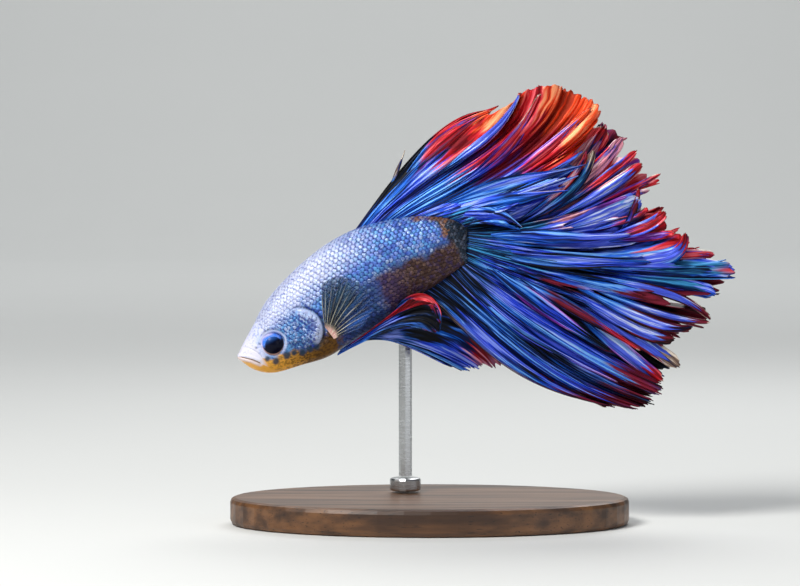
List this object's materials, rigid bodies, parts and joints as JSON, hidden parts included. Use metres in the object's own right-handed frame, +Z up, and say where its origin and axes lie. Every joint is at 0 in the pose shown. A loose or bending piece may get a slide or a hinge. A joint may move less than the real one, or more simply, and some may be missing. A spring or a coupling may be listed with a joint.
{
  "type": "betta fish display model",
  "caption": "Life-size still model of a long-finned male betta fish, head tipped down and fins spread, held by a rod on an oval display base.",
  "frame": {"origin": "centre of the underside of the stand's oval base", "axes": "+Z up, the fish heads towards -X with its tail towards +X, and its left flank faces -Y"},
  "size_m": [0.0834, 0.042, 0.0726],
  "materials": {
    "flesh": "scaled skin, satin",
    "jaw_skin": "smooth wet skin",
    "eye": "clear wet cornea over a blue iris and a black pupil",
    "fin": "thin ribbed webs, blue with red and dark edges",
    "clear_fin": "thin clear webs with pale rays",
    "walnut": "oiled walnut",
    "steel": "brushed"
  },
  "bodies": {
    "root": {"head": "flesh", "lower_jaw": "jaw_skin", "gill_cover_left": "flesh", "gill_cover_right": "flesh", "eye_left": "eye", "eye_right": "eye", "trunk": "flesh", "tail_stem": "flesh", "dorsal_fin": "fin", "caudal_fin": "fin", "anal_fin": "fin", "pelvic_fin_left": "fin", "pelvic_fin_right": "fin", "pectoral_fin_left": "clear_fin", "pectoral_fin_right": "clear_fin", "stand_base": "walnut", "stand_collar": "steel", "stand_rod": "steel"}
  },
  "joints": []
}
